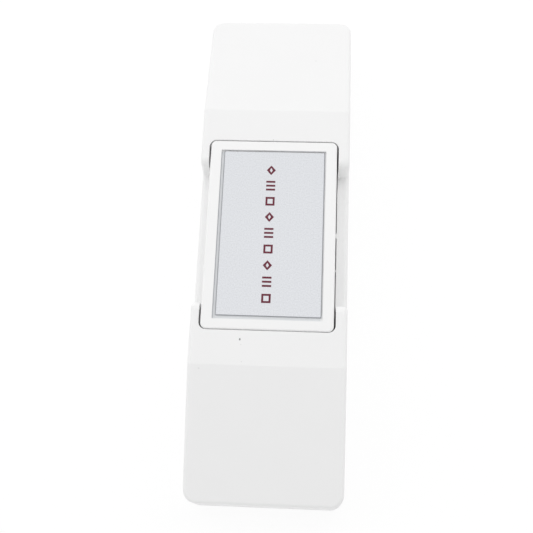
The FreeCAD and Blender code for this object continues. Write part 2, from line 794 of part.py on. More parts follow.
rectangle(rib, "sizes.lever_press_x", "0", "sizes.cap_rib_thickness", "sizes.cap_rib_width")
pad(cap, "switch_rib_pad", rib, f"sizes.cap_rib_drop + {CAP_WEB} / 2")
rib_z = number(f"{CAP_UNDERSIDE} - sizes.cap_rib_drop")
fillet(
    cap,
    "switch_rib_round",
    "(sizes.cap_rib_thickness - sizes.cap_rib_flat) / 2",
    lambda at, box: near(at.z, rib_z) and box.YLength > LONG_EDGE,
)

# Hooks under both ends of the skirt hold the cap in: they catch below the rim.
hook_face = "(sizes.cap_length / 2)"
hooks = []
for name, side in (("left", "-1"), ("right", "1")):
    hook = sketch_on(
        cap,
        f"hook_{name}",
        "YZ_Plane",
        f"sizes.cap_offset + {side} * sizes.hook_spacing / 2",
    )
    polygon(hook, [
        (f"{hook_face} - sizes.hook_leg", f"{SKIRT_BOTTOM} + sizes.hook_root"),
        (f"{hook_face} - sizes.hook_leg", f"{SKIRT_BOTTOM} - sizes.hook_height"),
        (hook_face, f"{SKIRT_BOTTOM} - sizes.hook_height"),
        (f"{hook_face} + sizes.hook_reach", f"{SKIRT_BOTTOM} - sizes.hook_nose"),
        (f"{hook_face} + sizes.hook_reach", SKIRT_BOTTOM),
        (f"{hook_face} - sizes.hook_inset", SKIRT_BOTTOM),
        (f"{hook_face} - sizes.hook_inset", f"{SKIRT_BOTTOM} + sizes.hook_root"),
    ])
    hooks.append(pad(cap, f"hook_{name}_pad", hook, "sizes.hook_width", both_ways=True))
mirror(cap, "hooks", hooks, "XZ_Plane")

# Label plate, glued in the recess a little right of and above its middle.
label = new_body("label_plate")
outline = sketch_on(label, "outline", height="sizes.plateau_height - sizes.recess_depth")
rounded_rectangle(
    outline,
    "sizes.cap_offset + sizes.label_shift_right",
    "sizes.label_shift_up",
    f"{RECESS_WIDTH} - 2 * sizes.label_gap_side",
    f"{RECESS_LENGTH} - 2 * sizes.label_gap_end",
    "sizes.recess_corner_round",
)
pad(label, "plate", outline, "sizes.label_thickness")

# Return springs: a closed turn at each end and open turns between. The wire has eight sides.
SPRING_FREE = f"({CAP_UNDERSIDE} - {SPRING_BOTTOM} - sizes.spring_wire)"
CLOSED_PITCH = "(sizes.spring_wire + sizes.spring_end_fit)"
OPEN_HEIGHT = f"({SPRING_FREE} - 2 * {CLOSED_PITCH})"
spring_radius = "(sizes.spring_diameter - sizes.spring_wire) / 2"
for name, end in (("upper", 1), ("lower", -1)):
    spring = new_body(f"return_spring_{name}")
    start = f"({SPRING_BOTTOM} + sizes.spring_wire / 2)"
    stages = [
        ("closed_low", start, CLOSED_PITCH, CLOSED_PITCH),
        ("open", f"{start} + {CLOSED_PITCH}", f"{OPEN_HEIGHT} / sizes.spring_turns", OPEN_HEIGHT),
        ("closed_high", f"{start} + {CLOSED_PITCH} + {OPEN_HEIGHT}", CLOSED_PITCH, CLOSED_PITCH),
    ]
    for stage, lift, pitch, height in stages:
        wire = sketch_on(spring, f"wire_{stage}", "XZ_Plane")
        octagon(wire, spring_radius, lift, "sizes.spring_wire")
        coil = spring.newObject("PartDesign::AdditiveHelix", f"{spring.Label}_{stage}")
        coil.Profile = wire
        coil.ReferenceAxis = (wire, ["V_Axis"])
        coil.Mode = "pitch-height-angle"
        coil.setExpression("Pitch", pitch)
        coil.setExpression("Height", height)
        doc.recompute()
    middle_y = end * number(SPRING_Y)
    spring.Placement.Base = FreeCAD.Vector(number("sizes.cap_offset"), middle_y, 0)

# Circuit board: a glass-fibre board on the base's posts.
board = new_body("circuit_board")
outline = sketch_on(board, "outline", height=BOARD_BOTTOM)
rectangle(
    outline,
    "0",
    f"({BOARD_BOTTOM_END} + sizes.board_top_end) / 2",
    f"2 * ({TRAY_HALF_WIDTH} - sizes.board_side_gap)",
    f"sizes.board_top_end - {BOARD_BOTTOM_END}",
)
pad(board, "plate", outline, "sizes.board_thickness")
cuts = sketch_on(board, "holes")
circle(
    cuts,
    "sizes.cap_offset",
    f"-{SPRING_Y}",
    "sizes.spring_diameter + 2 * sizes.board_spring_gap",
)
for name, across, along in screw_places:
    circle(cuts, across, along, "sizes.screw_core + 2 * sizes.board_hole_fit")
for across in ("-sizes.pin_pitch", "0", "sizes.pin_pitch"):
    rectangle(
        cuts,
        across,
        "0",
        "sizes.pin_thickness + 2 * sizes.pin_fit",
        "sizes.pin_width + 2 * sizes.pin_fit",
    )
for across in ("-sizes.clamp_pitch", "0", "sizes.clamp_pitch"):
    rectangle(
        cuts,
        across,
        BLOCK_Y,
        "sizes.pin_width + 2 * sizes.pin_fit",
        "sizes.pin_width + 2 * sizes.pin_fit",
    )
pocket(board, "holes_cut", cuts)

# Board screws: pan heads with a cross recess.
for name, across, along in screw_places:
    screw = new_body(f"board_screw_{name}")
    head = sketch_on(screw, "head", height=BOARD_TOP)
    circle(head, "0", "0", "sizes.screw_head_diameter")
    pad(screw, "head_pad", head, "sizes.screw_head_height")
    head_top = number(f"{BOARD_TOP} + sizes.screw_head_height")
    chamfer(screw, "head_bevel", "sizes.screw_head_bevel", lambda at, box: near(at.z, head_top))
    shank = sketch_on(screw, "shank", height=BOARD_TOP)
    circle(shank, "0", "0", "sizes.screw_core")
    pad(screw, "shank_pad", shank, "sizes.screw_length", downwards=True)
    tip = number(f"{BOARD_TOP} - sizes.screw_length")
    chamfer(screw, "tip", "sizes.screw_tip_bevel", lambda at, box: near(at.z, tip))
    cross = sketch_on(screw, "cross", height=f"{BOARD_TOP} + sizes.screw_head_height")
    arm = "sizes.screw_cross_length / 2"
    slot = "sizes.screw_cross_width / 2"
    polygon(cross, [
        (f"-{arm}", f"-{slot}"), (f"-{slot}", f"-{slot}"), (f"-{slot}", f"-{arm}"),
        (slot, f"-{arm}"), (slot, f"-{slot}"), (arm, f"-{slot}"),
        (arm, slot), (slot, slot), (slot, arm),
        (f"-{slot}", arm), (f"-{slot}", slot), (f"-{arm}", slot),
    ])
    pocket(screw, "cross_cut", cross, "sizes.screw_cross_depth")
    screw.Placement.Base = FreeCAD.Vector(number(across), number(along), 0)

# Snap switch: a case open on one side, closed by a lid.
case_back = "(-sizes.switch_width / 2)"
case_depth = "(sizes.switch_width - sizes.switch_lid)"
case = new_body("switch_case")
outline = sketch_on(case, "outline", height=BOARD_TOP)
rectangle(
    outline,
    "0",
    f"{case_back} + {case_depth} / 2",
    "sizes.switch_length",
    case_depth,
)
pad(case, "block", outline, "sizes.switch_height")
chamber = sketch_on(case, "chamber", height=f"{BOARD_TOP} + sizes.switch_wall")
rectangle(
    chamber,
    "0",
    f"{case_back} + sizes.switch_wall + {case_depth} / 2",
    "sizes.switch_length - 2 * sizes.switch_wall",
    case_depth,
)
pocket(case, "chamber_cut", chamber, "sizes.switch_height - 2 * sizes.switch_wall", upwards=True)
pin_slots = sketch_on(case, "pin_slots", height=f"{BOARD_TOP} + sizes.switch_wall")
for across in ("-sizes.pin_pitch", "0", "sizes.pin_pitch"):
    rectangle(
        pin_slots,
        across,
        "0",
        "sizes.pin_thickness + 2 * sizes.pin_fit",
        "sizes.pin_width + 2 * sizes.pin_fit",
    )
pocket(case, "pin_slots_cut", pin_slots, "sizes.switch_wall")
plunger_hole = sketch_on(case, "plunger_hole", height=SWITCH_TOP)
rectangle(
    plunger_hole,
    "sizes.plunger_x",
    "0",
    "sizes.plunger_length + 2 * sizes.plunger_fit",
    "sizes.plunger_width + 2 * sizes.plunger_fit",
)
pocket(case, "plunger_hole_cut", plunger_hole, "sizes.switch_wall")

# Two ears on the case's top carry the lever's bar.
ears = []
ear_middle = "(sizes.lever_width / 2 + sizes.ear_gap + sizes.ear_wall / 2)"
ear = sketch_on(case, "ear", "XZ_Plane", ear_middle)
rectangle(
    ear,
    "sizes.lever_pivot_x",
    f"({SWITCH_TOP} + {LEVER_Z} - sizes.ear_root) / 2",
    "sizes.ear_diameter",
    "sizes.lever_pivot_rise + sizes.ear_root",
)
ears.append(pad(case, "ear_foot", ear, "sizes.ear_wall", both_ways=True))
eye = sketch_on(case, "ear_eye", "XZ_Plane", ear_middle)
circle(eye, "sizes.lever_pivot_x", LEVER_Z, "sizes.ear_diameter")
ears.append(pad(case, "ear_round", eye, "sizes.ear_wall", both_ways=True))
mirror(case, "ears", ears, "XZ_Plane")
bar_hole = sketch_on(case, "bar_hole", "XZ_Plane")
circle(
    bar_hole,
    "sizes.lever_pivot_x",
    LEVER_Z,
    "sizes.lever_pivot_diameter + 2 * sizes.lever_pivot_fit",
)
pocket(case, "bar_hole_cut", bar_hole)

lid = new_body("switch_side_cover")
outline = sketch_on(lid, "outline", height=BOARD_TOP)
rectangle(
    outline,
    "0",
    "sizes.switch_width / 2 - sizes.switch_lid / 2",
    "sizes.switch_length",
    "sizes.switch_lid",
)
pad(lid, "plate", outline, "sizes.switch_height")
lid_face = number("sizes.switch_width / 2")
chamfer(lid, "outer_edges", "sizes.switch_lid_bevel", lambda at, box: near(at.y, lid_face))

# Plunger: a pin with a flange that keeps it in the case.
LEVER_DROP = f"({LEVER_Z} + sizes.lever_thickness / 2)"
REST_TANGENT = (
    f"(({CAP_UNDERSIDE} - sizes.cap_rib_drop - sizes.lever_gap - {LEVER_DROP})"
    " / (sizes.lever_pivot_x - sizes.lever_press_x))"
)
PRESSED_TANGENT = (
    f"({REST_TANGENT} - sizes.cap_travel / (sizes.lever_pivot_x - sizes.lever_press_x))"
)
PLUNGER_ARM = "(sizes.lever_pivot_x - sizes.plunger_x)"
PLUNGER_TOP = (
    f"({LEVER_Z} + {PLUNGER_ARM} * {REST_TANGENT}"
    " - sizes.lever_thickness / 2 - sizes.plunger_gap)"
)
PLUNGER_TRAVEL = f"({PLUNGER_ARM} * ({REST_TANGENT} - {PRESSED_TANGENT}))"
PLUNGER_BOTTOM = f"({BLADE_Z} + sizes.blade_thickness / 2 + sizes.plunger_blade_gap)"
plunger = new_body("switch_plunger")
pin = sketch_on(plunger, "pin", height=PLUNGER_BOTTOM)
rectangle(pin, "sizes.plunger_x", "0", "sizes.plunger_length", "sizes.plunger_width")
pad(plunger, "pin_pad", pin, f"{PLUNGER_TOP} - {PLUNGER_BOTTOM}")
flange_top = f"({SWITCH_TOP} - sizes.switch_wall - sizes.plunger_top_gap)"
flange = sketch_on(plunger, "flange", height=f"{flange_top} - sizes.plunger_flange_height")
rectangle(
    flange,
    "sizes.plunger_x",
    "0",
    "sizes.plunger_length + 2 * sizes.plunger_flange",
    "sizes.plunger_width",
)
pad(plunger, "flange_pad", flange, "sizes.plunger_flange_height")
plunger_top = number(PLUNGER_TOP)
fillet(
    plunger,
    "tip_round",
    "sizes.plunger_tip_round",
    lambda at, box: near(at.z, plunger_top) and box.YLength > LONG_EDGE,
)

# Lever: a strip with a cross bar, modelled level and turned up to its rest angle about the bar.
lever = new_body("switch_lever")
strip = sketch_on(lever, "strip", "XZ_Plane")
polygon(strip, [
    ("0", "-sizes.lever_thickness / 2"),
    ("0", "sizes.lever_thickness / 2"),
    ("-sizes.lever_length", "sizes.lever_thickness / 2"),
    ("-sizes.lever_length - sizes.lever_tip", "0"),
    ("-sizes.lever_length", "-sizes.lever_thickness / 2"),
])
pad(lever, "strip_pad", strip, "sizes.lever_width", both_ways=True)
bar = sketch_on(lever, "bar", "XZ_Plane")
circle(bar, "0", "0", "sizes.lever_pivot_diameter")
bar_length = "sizes.lever_width + 2 * sizes.ear_gap + 2 * sizes.ear_wall"
pad(lever, "bar_pad", bar, bar_length, both_ways=True)
rest_angle = math.degrees(math.atan(number(REST_TANGENT)))
pivot = FreeCAD.Vector(number("sizes.lever_pivot_x"), 0, number(LEVER_Z))
lever.Placement = FreeCAD.Placement(
    pivot,
    FreeCAD.Rotation(FreeCAD.Vector(0, 1, 0), rest_angle),
)

# Blade: the moving contact strip, carried on the common pin's nose.
blade = new_body("switch_blade")
strip = sketch_on(blade, "strip", height=f"{BLADE_Z} - sizes.blade_thickness / 2")
blade_left = "(-sizes.pin_pitch - sizes.pin_thickness)"
rectangle(
    strip,
    f"({blade_left} + sizes.blade_tip_x) / 2",
    "0",
    f"sizes.blade_tip_x - {blade_left}",
    "sizes.blade_width",
)
pad(blade, "strip_pad", strip, "sizes.blade_thickness")
rivet = sketch_on(
    blade,
    "rivet",
    height=f"{BLADE_Z} - sizes.blade_thickness / 2 - sizes.contact_height",
)
circle(rivet, "sizes.contact_x", "0", "sizes.contact_diameter")
pad(blade, "rivet_pad", rivet, "sizes.blade_thickness + 2 * sizes.contact_height")

# Contact pins: flat strips through the case's floor and the board, soldered below.
# The common pin ends in a round nose, which the blade rocks on.
PIN_BOTTOM = f"({BOARD_BOTTOM} - sizes.pin_below_board)"
BLADE_PIVOT_Z = (
    f"({BLADE_Z} - sizes.blade_thickness / 2 - sizes.blade_pin_gap - sizes.pin_thickness / 2)"
)
CLOSED_Z = (
    f"({BLADE_Z} + sizes.blade_thickness / 2 + 2 * sizes.contact_height + sizes.contact_gap)"
)
BLADE_TANGENT = (
    f"(({PLUNGER_TRAVEL} - sizes.plunger_blade_gap + sizes.pressed_clear)"
    " / (sizes.plunger_x - sizes.plunger_length / 2 + sizes.pin_pitch))"
)
CONTACT_TRAVEL = (
    f"({BLADE_TANGENT} * (sizes.contact_x + sizes.contact_diameter / 2 + sizes.pin_pitch))"
)
OPEN_Z = (
    f"({BLADE_Z} - sizes.blade_thickness / 2 - 2 * sizes.contact_height"
    f" - {CONTACT_TRAVEL} - sizes.pressed_clear)"
)
common = new_body("switch_common_pin")
strip = sketch_on(common, "strip", height=PIN_BOTTOM)
rectangle(strip, "-sizes.pin_pitch", "0", "sizes.pin_thickness", "sizes.pin_width")
pad(common, "strip_pad", strip, f"{BLADE_PIVOT_Z} - {PIN_BOTTOM}")
nose = sketch_on(common, "nose", "XZ_Plane")
circle(nose, "-sizes.pin_pitch", BLADE_PIVOT_Z, "sizes.pin_thickness")
pad(common, "nose_pad", nose, "sizes.pin_width", both_ways=True)

closed = new_body("switch_closed_pin")
strip = sketch_on(closed, "strip", height=PIN_BOTTOM)
rectangle(strip, "sizes.pin_pitch", "0", "sizes.pin_thickness", "sizes.pin_width")
pad(closed, "strip_pad", strip, f"{CLOSED_Z} + sizes.pin_thickness - {PIN_BOTTOM}")
arm = sketch_on(closed, "arm", height=CLOSED_Z)
arm_left = "(sizes.contact_x - sizes.contact_diameter / 2)"
arm_right = "(sizes.pin_pitch + sizes.pin_thickness / 2)"
rectangle(
    arm,
    f"({arm_left} + {arm_right}) / 2",
    "0",
    f"{arm_right} - {arm_left}",
    "sizes.blade_width",
)
pad(closed, "arm_pad", arm, "sizes.pin_thickness")
rivet = sketch_on(closed, "rivet", height=f"{CLOSED_Z} - sizes.contact_height")
circle(rivet, "sizes.contact_x", "0", "sizes.contact_diameter")
pad(closed, "rivet_pad", rivet, "sizes.contact_height + sizes.pin_thickness / 2")

opened = new_body("switch_open_pin")
strip = sketch_on(opened, "strip", height=PIN_BOTTOM)
rectangle(strip, "0", "0", "sizes.pin_thickness", "sizes.pin_width")
pad(opened, "strip_pad", strip, f"{OPEN_Z} - {PIN_BOTTOM}")
arm = sketch_on(opened, "arm", height=f"{OPEN_Z} - sizes.pin_thickness")
rectangle(
    arm,
    "(sizes.contact_x + sizes.contact_diameter / 2) / 2",
    "0",
    "sizes.contact_x + sizes.contact_diameter / 2 + sizes.pin_thickness",
    "sizes.blade_width",
)
pad(opened, "arm_pad", arm, "sizes.pin_thickness")
rivet = sketch_on(opened, "rivet", height=f"{OPEN_Z} - sizes.pin_thickness / 2")
circle(rivet, "sizes.contact_x", "0", "sizes.contact_diameter")
pad(opened, "rivet_pad", rivet, "sizes.contact_height + sizes.pin_thickness / 2")

# Terminal block: chambers open below for the wire clamps, wells above for their screws.
block = new_body("terminal_block")
outline = sketch_on(block, "outline", height=BOARD_TOP)
rectangle(outline, "0", BLOCK_Y, "sizes.block_width", "sizes.block_depth")
pad(block, "block", outline, "sizes.block_height")
chambers = sketch_on(block, "chambers", height=BOARD_TOP)
wells = sketch_on(block, "wells", height=f"{BOARD_TOP} + sizes.block_height")
entries = sketch_on(block, "wire_entries", "XZ_Plane", f"-({BLOCK_Y} - sizes.block_depth / 2)")
PLACES = (("left", "-1"), ("middle", "0"), ("right", "1"))
for name, place in PLACES:
    across = f"{place} * sizes.clamp_pitch"
    rectangle(
        chambers,
        across,
        BLOCK_Y,
        "sizes.clamp_width + 2 * sizes.clamp_fit",
        "sizes.clamp_depth + 2 * sizes.clamp_fit",
    )
    circle(wells, across, BLOCK_Y, "sizes.clamp_screw_head + 2 * sizes.clamp_fit")
    rectangle(
        entries,
        across,
        f"{BOARD_TOP} + sizes.block_wall + sizes.wire_entry_height / 2",
        "sizes.wire_entry_width",
        "sizes.wire_entry_height",
    )
pocket(
    block,
    "chambers_cut",
    chambers,
    "sizes.block_height - sizes.block_roof",
    upwards=True,
)
pocket(block, "wells_cut", wells, "sizes.block_roof + sizes.clamp_fit")
pocket(block, "wire_entries_cut", entries, "sizes.block_depth / 2")

# Wire clamps: bent cages, open towards the wire, each with a solder pin; and their screws.
for name, place in PLACES:
    across = number(f"{place} * sizes.clamp_pitch")
    along = number(BLOCK_Y)
    clamp = new_body(f"wire_clamp_{name}")
    cage = sketch_on(clamp, "cage", height=f"{BOARD_TOP} + sizes.clamp_fit")
    rectangle(cage, "0", "0", "sizes.clamp_width", "sizes.clamp_depth")
    pad(clamp, "cage_pad", cage, "sizes.clamp_height")
    window = sketch_on(clamp, "window", "XZ_Plane")
    rectangle(
        window,
        "0",
        f"{BOARD_TOP} + sizes.clamp_fit + sizes.clamp_height / 2",
        "sizes.clamp_width - 2 * sizes.clamp_wall",
        "sizes.clamp_height - 2 * sizes.clamp_wall",
    )
    pocket(clamp, "window_cut", window)
    thread = sketch_on(clamp, "thread", height=f"{BOARD_TOP} + sizes.clamp_fit + sizes.clamp_height")
    circle(thread, "0", "0", "sizes.clamp_screw_diameter + 2 * sizes.screw_fit")
    pocket(clamp, "thread_cut", thread, "2 * sizes.clamp_wall")
    solder_pin = sketch_on(clamp, "solder_pin", height=PIN_BOTTOM)
    rectangle(solder_pin, "0", "0", "sizes.pin_width", "sizes.pin_width")
    pin_top = f"({BOARD_TOP} + sizes.clamp_fit + sizes.clamp_wall / 2)"
    pad(clamp, "solder_pin_pad", solder_pin, f"{pin_top} - {PIN_BOTTOM}")
    clamp.Placement.Base = FreeCAD.Vector(across, along, 0)

    screw = new_body(f"clamp_screw_{name}")
    seat = f"({BOARD_TOP} + sizes.clamp_fit + sizes.clamp_height + sizes.clamp_screw_lift)"
    head = sketch_on(screw, "head", height=seat)
    circle(head, "0", "0", "sizes.clamp_screw_head")
    pad(screw, "head_pad", head, "sizes.clamp_screw_head_height")
    shank = sketch_on(screw, "shank", height=seat)
    circle(shank, "0", "0", "sizes.clamp_screw_diameter")
    pad(screw, "shank_pad", shank, "sizes.clamp_screw_shank", downwards=True)
    slot = sketch_on(screw, "slot", height=f"{seat} + sizes.clamp_screw_head_height")
    rectangle(slot, "0", "0", "2 * sizes.clamp_screw_head", "sizes.clamp_slot_width")
    pocket(screw, "slot_cut", slot, "sizes.clamp_slot_depth")
    screw.Placement.Base = FreeCAD.Vector(across, along, 0)

doc.recompute()

# Every feature has to be sound before anything is written.
for item in doc.Objects:
    if "Invalid" in item.State or "Error" in item.State:
        raise ValueError(f"{item.Label}: {item.State}")
bodies = [item for item in doc.Objects if item.TypeId == "PartDesign::Body"]
for body in bodies:
    if body.Shape.isNull() or not body.Shape.isValid():
        raise ValueError(f"{body.Label}: no sound shape")
    if len(body.Shape.Solids) != 1:
        raise ValueError(f"{body.Label}: {len(body.Shape.Solids)} solids")

os.makedirs("parts", exist_ok=True)
for body in bodies:
    body.Shape.exportStep(f"parts/{body.Label}.step")
    print(f"{body.Label}: {body.Shape.Volume:.1f} mm3")

print(f"lever: rest angle {rest_angle:.3f} degrees")
pressed_angle = math.degrees(math.atan(number(PRESSED_TANGENT)))
print(f"lever: pressed angle {pressed_angle:.3f} degrees")
print(f"plunger: top {plunger_top:.4f}, travel {number(PLUNGER_TRAVEL):.4f}")
print(f"blade: pressed angle {math.degrees(math.atan(number(BLADE_TANGENT))):.3f} degrees")
print(f"lever: pivot {pivot}")
print(f"blade: pivot height {number(BLADE_PIVOT_Z):.4f}")
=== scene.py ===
import math

import bmesh
import bpy
import numpy as np
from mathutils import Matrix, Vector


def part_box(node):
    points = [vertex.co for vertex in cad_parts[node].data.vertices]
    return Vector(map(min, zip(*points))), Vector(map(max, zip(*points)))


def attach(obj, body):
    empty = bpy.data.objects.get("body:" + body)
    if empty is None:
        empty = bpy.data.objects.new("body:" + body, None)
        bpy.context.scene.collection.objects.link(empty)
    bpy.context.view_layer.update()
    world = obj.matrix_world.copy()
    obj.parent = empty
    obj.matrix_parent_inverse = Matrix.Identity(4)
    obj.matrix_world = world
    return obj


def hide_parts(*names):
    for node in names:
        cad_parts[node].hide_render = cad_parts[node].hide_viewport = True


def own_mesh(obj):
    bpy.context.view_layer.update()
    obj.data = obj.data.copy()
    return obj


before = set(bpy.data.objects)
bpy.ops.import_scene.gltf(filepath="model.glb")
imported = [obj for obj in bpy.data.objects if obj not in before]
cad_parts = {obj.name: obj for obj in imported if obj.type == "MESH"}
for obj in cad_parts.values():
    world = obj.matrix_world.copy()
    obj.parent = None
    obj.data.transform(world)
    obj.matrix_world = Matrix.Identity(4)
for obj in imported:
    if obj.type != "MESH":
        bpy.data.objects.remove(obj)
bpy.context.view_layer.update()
MM = 0.001


# Rear base: the shallow tray that is screwed to a counter and carries everything inside.
# It is injection moulded in one piece, in white ABS.
def linear(code):
    """An sRGB hex colour as linear red, green, blue and alpha."""
    shares = np.array([int(code[at:at + 2], 16) for at in (1, 3, 5)]) / 255
    lit = np.where(shares <= 0.04045, shares / 12.92, ((shares + 0.055) / 1.055) ** 2.4)
    return [*lit.tolist(), 1.0]


def darkened(code, share):
    """The same colour with a share of its light taken away."""
    return [part * (1 - share) for part in linear(code)[:3]] + [1.0]


def add_node(tree, kind, inputs=None, **settings):
    """Adds a shader node, sets its properties, and gives each input a value or a link."""
    made = tree.nodes.new(kind)
    for name, value in settings.items():
        setattr(made, name, value)
    for name, value in (inputs or {}).items():
        if isinstance(value, bpy.types.NodeSocket):
            tree.links.new(value, made.inputs[name])
        else:
            made.inputs[name].default_value = value
    return made


def begin_material(name):
    """An empty node material, its tree, and the coordinates of the piece itself."""
    material = bpy.data.materials.new(name)
    material.use_nodes = True
    material.node_tree.nodes.clear()
    place = add_node(material.node_tree, "ShaderNodeTexCoord").outputs["Object"]
    return material, material.node_tree, place


def patches(tree, place, width, detail=2.0):
    """Soft patches from 0 to 1, about as wide as the width in mm. Three widths stretch them."""
    if not isinstance(width, (int, float)):
        stretch = [1 / (part * MM) for part in width]
        place = add_node(tree, "ShaderNodeMapping", {"Vector": place, "Scale": stretch}).outputs[0]
        width = 1 / MM
    return add_node(tree, "ShaderNodeTexNoise", {
        "Vector": place, "Scale": 1 / (width * MM), "Detail": detail,
    }).outputs["Fac"]


def between(tree, share, low, high):
    """A share from 0 to 1 turned into a value between two."""
    return add_node(tree, "ShaderNodeMapRange", {"Value": share, "To Min": low, "To Max": high}).outputs[0]


def blended(tree, share, first, second):
    """A colour between two, by a share from 0 to 1. Sockets 6 and 7 of the mix node take colours."""
    return add_node(tree, "ShaderNodeMix", {0: share, 6: first, 7: second}, data_type="RGBA").outputs[2]


def relief(tree, height, depth):
    """The surface's direction, turned by a pattern that is this many mm deep."""
    return add_node(tree, "ShaderNodeBump", {"Height": height, "Distance": depth * MM}).outputs[0]


def end_material(tree, **inputs):
    """The surface itself: one principled shader, and the material's output."""
    named = {name.replace("_", " "): value for name, value in inputs.items()}
    shader = add_node(tree, "ShaderNodeBsdfPrincipled", named)
    add_node(tree, "ShaderNodeOutputMaterial", {"Surface": shader.outputs[0]})


def moulded(name, code, ior, roughness, flow_change, grain, grain_depth, flecks=()):
    """Injection-moulded plastic. The melt's flow leaves its colour and gloss a little uneven over about
    9 mm, and the mould's face leaves a fine matt grain. A fleck of dirt is its middle in mm, its half
    width and half length in mm, and how far its grey covers the plastic, from 0 to 1."""
    material, tree, place = begin_material(name)
    flow = patches(tree, place, width=9.0, detail=3.0)
    gloss_spread = 0.04
    fleck_code = "#3A3B3E"
    fleck_core = 0.4
    colour = blended(tree, flow, linear(code), darkened(code, flow_change))
    for middle, half_width, half_length, depth in flecks:
        spread = add_node(tree, "ShaderNodeMapping", {
            "Vector": place,
            "Location": [part * MM for part in middle],
            "Scale": [half_width * MM, half_length * MM, MM],
        }, vector_type="TEXTURE")
        away = add_node(tree, "ShaderNodeVectorMath", {0: spread.outputs[0]}, operation="LENGTH")
        share = add_node(tree, "ShaderNodeMapRange", {
            "Value": away.outputs["Value"],
            "From Min": fleck_core,
            "From Max": 1.0,
            "To Min": depth,
            "To Max": 0.0,
        })
        colour = blended(tree, share.outputs[0], colour, linear(fleck_code))
    end_material(
        tree,
        Base_Color=colour,
        Roughness=between(tree, flow, roughness - gloss_spread, roughness + gloss_spread),
        IOR=ior,
        Normal=relief(tree, patches(tree, place, grain), grain_depth),
    )
    return material


def finish_nodes(material, *names):
    """Gives CAD nodes their finish."""
    for name in names:
        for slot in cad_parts[name].material_slots:
            slot.material = material


# ABS from a spark-eroded mould: a soft even matt, white with no tint. The real grain of about
# 0.08 mm is drawn at 0.25 mm, so that it shows.
housing_code = "#F4F4F4"
abs_ior = 1.53
matt_face = {"ior": abs_ior, "roughness": 0.5, "flow_change": 0.02, "grain": 0.25, "grain_depth": 0.004}
finish_nodes(moulded("moulded_white_abs", housing_code, **matt_face), "rear_base")


# Circuit board: glass-fibre laminate under green solder mask, held on two posts of the base.
# It is routed from a sheet, and the weave of its glass cloth shows faintly through the mask.
def laminate(name, code):
    """Solder mask over glass cloth: two crossed waves, of one thread's pitch, darken it where they meet.
    The wave texture turns by 20 radians a unit, so its scale is two pi over 20 times the pitch."""
    material, tree, place = begin_material(name)
    cloth_pitch = 0.5 * MM
    threads = []
    for direction in "XY":
        wave = add_node(tree, "ShaderNodeTexWave", {
            "Vector": place, "Scale": math.pi / (10 * cloth_pitch),
        }, bands_direction=direction)
        threads.append(wave.outputs["Fac"])
    crossed = {0: threads[0], 1: threads[1]}
    weave = add_node(tree, "ShaderNodeMath", crossed, operation="MULTIPLY").outputs[0]
    end_material(
        tree,
        Base_Color=blended(tree, weave, linear(code), darkened(code, 0.2)),
        Roughness=0.3,
        IOR=1.52,
        Normal=relief(tree, weave, 0.003),
    )
    return material


# Green mask on laminate: a deep clear green with a wet gloss.
finish_nodes(laminate("solder_mask_on_laminate", "#1F5C38"), "circuit_board")


# Copper tracks: three strips etched from foil on the board's underside, under the solder mask. Each
# joins a pin of the switch to its wire clamp, and the middle one goes round the spring's hole.
def surface_piece(name, grids, material, body, smooth_below=35):
    """A piece from grids of points, each rows by columns by three, in metres. Columns join up round
    the piece, rows run from one end to the other, and an end whose points are equal is closed there.
    Faces that meet at less than smooth_below degrees shade as one."""
    points = []
    faces = []
    count = 0
    for grid in grids:
        rows, columns = grid.shape[:2]
        row, column = np.meshgrid(np.arange(rows - 1), np.arange(columns), indexing="ij")
        beside = (column + 1) % columns
        corners = [row * columns + column, (row + 1) * columns + column,
                   (row + 1) * columns + beside, row * columns + beside]
        faces.append(np.stack(corners, axis=-1).reshape(-1, 4) + count)
        points.append(grid.reshape(-1, 3))
        count += rows * columns
    mesh = bpy.data.meshes.new(name)
    mesh.from_pydata(np.concatenate(points).tolist(), [], np.concatenate(faces).tolist())
    build = bmesh.new()
    build.from_mesh(mesh)
    bmesh.ops.remove_doubles(build, verts=build.verts, dist=1e-7)
    bmesh.ops.recalc_face_normals(build, faces=build.faces)
    build.to_mesh(mesh)
    build.free()
    mesh.polygons.foreach_set("use_smooth", np.ones(len(mesh.polygons), bool))
    mesh.set_sharp_from_angle(angle=math.radians(smooth_below))
    mesh.materials.append(material)
    piece = bpy.data.objects.new(name, mesh)
    bpy.context.scene.collection.objects.link(piece)
    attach(piece, body)
    return piece


def close_ends(rings):
    """Adds a row at each end, with all its points in the middle of that end's ring."""
    first = np.broadcast_to(rings[:1].mean(axis=1, keepdims=True), rings[:1].shape)
    last = np.broadcast_to(rings[-1:].mean(axis=1, keepdims=True), rings[-1:].shape)
    return np.concatenate([first, rings, last])


def strip(route, width, low, high):
    """A flat strip along a route in the plane. At each point its edges lie half the width to either
    side, square to the line that halves the bend, and further out there by one over its cosine."""
    route = np.array(route, float)
    steps = np.diff(route, axis=0)
    steps /= np.linalg.norm(steps, axis=1, keepdims=True)
    ahead = np.vstack([steps[:1], (steps[:-1] + steps[1:]) / 2, steps[-1:]])
    across = np.column_stack([-ahead[:, 1], ahead[:, 0]]) / np.sum(ahead ** 2, axis=1, keepdims=True)
    rings = []
    for side, height in ((0.5, low), (0.5, high), (-0.5, high), (-0.5, low)):
        edge = route + across * side * width
        rings.append(np.column_stack([edge, np.full(len(edge), height)]))
    return close_ends(np.stack(rings, axis=1))


